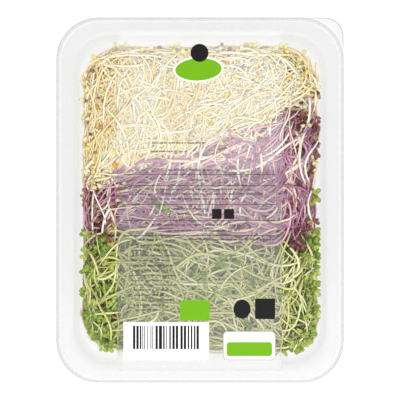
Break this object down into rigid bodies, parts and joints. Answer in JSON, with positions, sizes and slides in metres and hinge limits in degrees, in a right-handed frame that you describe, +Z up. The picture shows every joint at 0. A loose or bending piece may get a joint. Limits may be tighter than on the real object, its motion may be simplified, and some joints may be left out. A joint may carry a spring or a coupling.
{
  "type": "sealed tray of mixed sprouts",
  "caption": "Tangled cream, purple and green sprouts side by side in a clear tray, under a clear peel-off film with a translucent label strip.",
  "frame": {"origin": "under the middle of the tray, on the surface that it stands on", "axes": "+Z up through the film, +Y along the tray from the green bunch to the cream one, +X towards the side whose +Y corner has the film's peel corner"},
  "size_m": [0.1354, 0.172, 0.0393],
  "materials": {
    "clear_tray": "clear formed sheet",
    "clear_film": "clear stretched film",
    "label_strip": "translucent satin film",
    "cream_sprouts": "moist cream-white stems with pale yellow seed leaves",
    "purple_sprouts": "moist pink-violet stems with dark maroon seed leaves",
    "green_sprouts": "moist pale green stems with bright green seed leaves"
  },
  "bodies": {
    "root": {"tray": "clear_tray", "lidding_film": "clear_film", "label_strip": "label_strip", "cream_sprouts": "cream_sprouts", "purple_sprouts": "purple_sprouts", "green_sprouts": "green_sprouts"}
  },
  "joints": []
}
